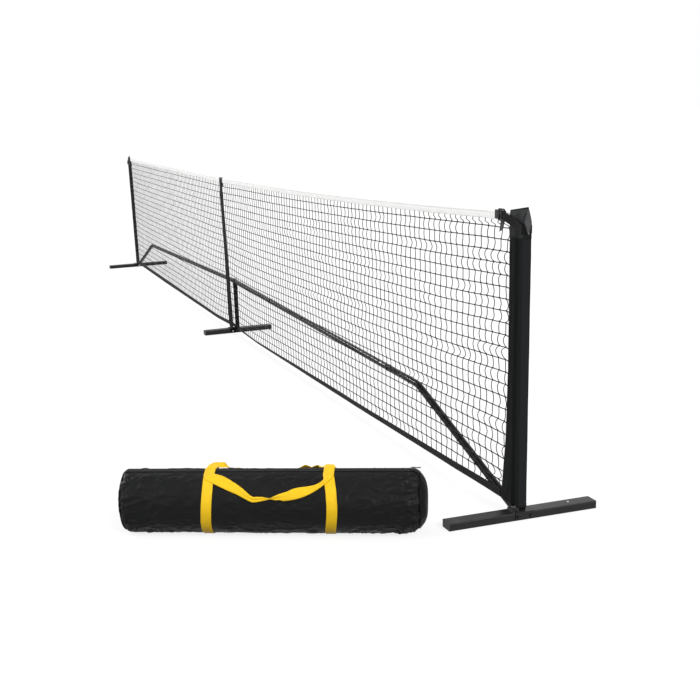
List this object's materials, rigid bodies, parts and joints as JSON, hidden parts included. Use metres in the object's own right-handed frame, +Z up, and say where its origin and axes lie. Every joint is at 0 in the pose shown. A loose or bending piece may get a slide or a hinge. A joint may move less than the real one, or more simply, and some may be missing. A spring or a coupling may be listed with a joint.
{
  "type": "portable court net set",
  "caption": "Portable court net on a knock-down steel tube frame with floor feet, fabric end sleeves, tension straps, a centre strap and a zipped carry bag with webbing handles.",
  "frame": {"origin": "middle of the centre foot's underside, on the floor", "axes": "+X along the net towards the end where the bag lies, -Y towards the side that the net is hung on, +Z up"},
  "size_m": [6.8113, 1.4249, 0.92],
  "materials": {
    "black_tube": "satin black powder coat on steel tube",
    "foot_steel": "fine-textured black powder coat on flat steel tube",
    "saddle_steel": "black powder coat on bent steel",
    "zinc_steel": "bright zinc plate",
    "spring_steel": "plain spring steel",
    "button_steel": "polished steel dome",
    "cap_plastic": "moulded black cap",
    "adjuster_plastic": "moulded black acetal",
    "sleeve_fabric": "black coated polyester",
    "hood_fabric": "black coated polyester, sewn to a gable",
    "black_webbing": "black polypropylene webbing",
    "grey_webbing": "dark grey webbing",
    "net_cord": "knotless black netting cord",
    "white_tape": "white vinyl-coated headband",
    "band_webbing": "black bottom band",
    "bag_fabric": "black 600D polyester",
    "yellow_webbing": "yellow polypropylene webbing",
    "zip_fabric": "black zip tape and coil",
    "zip_metal": "dark nickel zip pull"
  },
  "bodies": {
    "net_frame": {"foot_centre": "foot_steel", "foot_right": "foot_steel", "foot_left": "foot_steel", "foot_caps": "cap_plastic", "foot_toes": "cap_plastic", "saddle_centre": "saddle_steel", "saddle_right": "saddle_steel", "saddle_left": "saddle_steel", "frame_bolts": "zinc_steel", "centre_leg": "black_tube", "bar_tee": "black_tube", "bar_inner_right": "black_tube", "bar_inner_left": "black_tube", "bar_middle_right": "black_tube", "bar_middle_left": "black_tube", "bar_outer_right": "black_tube", "bar_outer_left": "black_tube", "bar_link_right": "black_tube", "bar_link_left": "black_tube", "brace_right": "black_tube", "brace_left": "black_tube", "button_clips": "spring_steel", "post_right": "black_tube", "post_left": "black_tube", "post_plugs": "cap_plastic", "sleeve_right": "sleeve_fabric", "sleeve_left": "sleeve_fabric", "hood_right": "hood_fabric", "hood_left": "hood_fabric", "strap_right": "black_webbing", "strap_left": "black_webbing", "adjuster_right": "adjuster_plastic", "adjuster_left": "adjuster_plastic", "adjuster_loops": "grey_webbing", "net_mesh": "net_cord", "top_tape": "white_tape", "bottom_band": "band_webbing", "centre_strap": "black_webbing", "strap_cap": "black_webbing", "foot_web": "black_webbing"},
    "button_inner_right_body": {"button_inner_right": "button_steel"},
    "button_inner_left_body": {"button_inner_left": "button_steel"},
    "button_middle_right_body": {"button_middle_right": "button_steel"},
    "button_middle_left_body": {"button_middle_left": "button_steel"},
    "button_outer_right_body": {"button_outer_right": "button_steel"},
    "button_outer_left_body": {"button_outer_left": "button_steel"},
    "button_link_right_body": {"button_link_right": "button_steel"},
    "button_link_left_body": {"button_link_left": "button_steel"},
    "button_foot_right_body": {"button_foot_right": "button_steel"},
    "button_foot_left_body": {"button_foot_left": "button_steel"},
    "bag": {"bag_body": "bag_fabric", "bag_ends": "bag_fabric", "bag_bands": "yellow_webbing", "zip_tape": "zip_fabric"},
    "front_handle": {"bag_handle_front": "yellow_webbing"},
    "back_handle": {"bag_handle_back": "yellow_webbing"},
    "slider": {"zip_slider": "zip_metal"},
    "pull_tab": {"zip_tab": "zip_metal"}
  },
  "joints": [
    {"name": "button_inner_right_press", "type": "slide", "parent": "net_frame", "child": "button_inner_right_body", "axis": [0.012, 0.7071, 0.707], "range_m": [-0.0032, 0], "stiffness_N_per_m": 600, "springref_m": 0.001},
    {"name": "button_inner_left_press", "type": "slide", "parent": "net_frame", "child": "button_inner_left_body", "axis": [-0.012, 0.7071, 0.707], "range_m": [-0.0032, 0], "stiffness_N_per_m": 600, "springref_m": 0.001},
    {"name": "button_middle_right_press", "type": "slide", "parent": "net_frame", "child": "button_middle_right_body", "axis": [0.012, 0.7071, 0.707], "range_m": [-0.0032, 0], "stiffness_N_per_m": 600, "springref_m": 0.001},
    {"name": "button_middle_left_press", "type": "slide", "parent": "net_frame", "child": "button_middle_left_body", "axis": [-0.012, 0.7071, 0.707], "range_m": [-0.0032, 0], "stiffness_N_per_m": 600, "springref_m": 0.001},
    {"name": "button_outer_right_press", "type": "slide", "parent": "net_frame", "child": "button_outer_right_body", "axis": [0.0114, -0.7431, 0.669], "range_m": [-0.0032, 0], "stiffness_N_per_m": 600, "springref_m": 0.001},
    {"name": "button_outer_left_press", "type": "slide", "parent": "net_frame", "child": "button_outer_left_body", "axis": [-0.0114, -0.7431, 0.669], "range_m": [-0.0032, 0], "stiffness_N_per_m": 600, "springref_m": 0.001},
    {"name": "button_link_right_press", "type": "slide", "parent": "net_frame", "child": "button_link_right_body", "axis": [-0.0097, -0.8192, -0.5735], "range_m": [-0.0032, 0], "stiffness_N_per_m": 600, "springref_m": 0.001},
    {"name": "button_link_left_press", "type": "slide", "parent": "net_frame", "child": "button_link_left_body", "axis": [0.0097, -0.8192, -0.5735], "range_m": [-0.0032, 0], "stiffness_N_per_m": 600, "springref_m": 0.001},
    {"name": "button_foot_right_press", "type": "slide", "parent": "net_frame", "child": "button_foot_right_body", "axis": [0, 0, 1], "range_m": [-0.0032, 0], "stiffness_N_per_m": 600, "springref_m": 0.001},
    {"name": "button_foot_left_press", "type": "slide", "parent": "net_frame", "child": "button_foot_left_body", "axis": [0, 0, 1], "range_m": [-0.0032, 0], "stiffness_N_per_m": 600, "springref_m": 0.001},
    {"name": "bag_lift", "type": "slide", "parent": "net_frame", "child": "bag", "axis": [0, 0, 1], "range_m": [0, 0.5]},
    {"name": "front_handle_swing", "type": "hinge", "parent": "bag", "child": "front_handle", "pos_m": [3.18186, -0.74009, 0.1875], "axis": [-0.4179, -0.9085, 0], "range_deg": [0, 136]},
    {"name": "back_handle_swing", "type": "hinge", "parent": "bag", "child": "back_handle", "pos_m": [3.11359, -0.70869, 0.1875], "axis": [0.4179, 0.9085, 0], "range_deg": [0, 136]},
    {"name": "zip_run", "type": "slide", "parent": "bag", "child": "slider", "axis": [0.4179, 0.9085, 0], "range_m": [-0.85, 0]},
    {"name": "zip_tab_swing", "type": "hinge", "parent": "slider", "child": "pull_tab", "pos_m": [3.32531, -0.33827, 0.1969], "axis": [0.9085, -0.4179, 0], "range_deg": [0, 170]}
  ]
}
